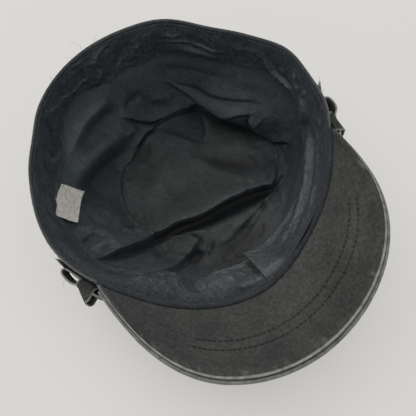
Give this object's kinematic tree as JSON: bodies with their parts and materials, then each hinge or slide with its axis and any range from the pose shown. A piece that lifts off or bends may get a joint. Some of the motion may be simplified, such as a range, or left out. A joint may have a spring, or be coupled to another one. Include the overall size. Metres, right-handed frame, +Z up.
{
  "type": "cadet cap",
  "caption": "Soft canvas cadet cap lying upside down on its flat crown, with a stiff curved peak, a headband, a lining with a sweatband, and a strap held by keepers.",
  "frame": {"origin": "middle of the cap's outline, at the level of the surface that its crown lies on", "axes": "+Z up, out of the opening; the peak points towards -Y and the wearer's sides are -X and +X"},
  "size_m": [0.203, 0.2366, 0.0903],
  "materials": {
    "canvas": "charcoal cotton canvas, washed and slightly worn",
    "worn_canvas": "charcoal cotton canvas rubbed pale along its edges",
    "lining": "black plain-weave cotton lining, creased",
    "band_cloth": "blue-black twill sweatband, soft",
    "label_cloth": "pale satin label cloth, bare"
  },
  "bodies": {
    "root": {"crown_top": "canvas", "crown_side": "canvas", "headband": "canvas", "peak_upper": "canvas", "peak_under": "canvas", "keeper_left": "canvas", "keeper_right": "canvas", "peak_piping": "worn_canvas", "front_strap": "worn_canvas", "strap_tab_left": "worn_canvas", "strap_tab_right": "worn_canvas", "lining_top": "lining", "lining_side": "lining", "sweatband": "band_cloth", "rim_binding": "band_cloth", "care_label": "label_cloth"}
  },
  "joints": []
}
